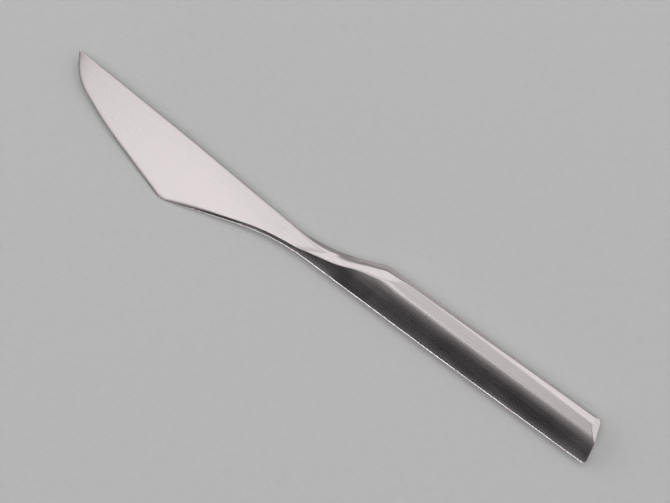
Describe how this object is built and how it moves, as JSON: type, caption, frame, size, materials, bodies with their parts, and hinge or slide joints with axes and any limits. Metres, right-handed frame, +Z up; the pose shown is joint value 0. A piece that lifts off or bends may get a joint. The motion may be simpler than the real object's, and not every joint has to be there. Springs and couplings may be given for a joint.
{
  "type": "table knife",
  "caption": "Satin steel table knife with a pointed, deep-heeled blade, a slim twisted neck and a straight tapered-section handle with a slanted butt.",
  "frame": {"origin": "on the table, under the middle of the box round the knife as it lies on its side", "axes": "+X from the tip towards the butt, along the belly of the handle, +Y towards the spine, +Z up from the table"},
  "size_m": [0.2146, 0.028, 0.0072],
  "materials": {
    "blade_steel": "satin, fine grain along the blade",
    "handle_steel": "satin, fine grain along the handle",
    "braze": "dull, ground flush where it shows",
    "cement": "mineral filled, gritty"
  },
  "bodies": {
    "root": {"blade": "blade_steel", "upper_handle_shell": "handle_steel", "lower_handle_shell": "handle_steel", "butt_cap": "handle_steel", "spine_seam_braze": "braze", "belly_seam_braze": "braze", "neck_braze_ring": "braze", "butt_braze_ring": "braze", "tang_cement": "cement"}
  },
  "joints": []
}
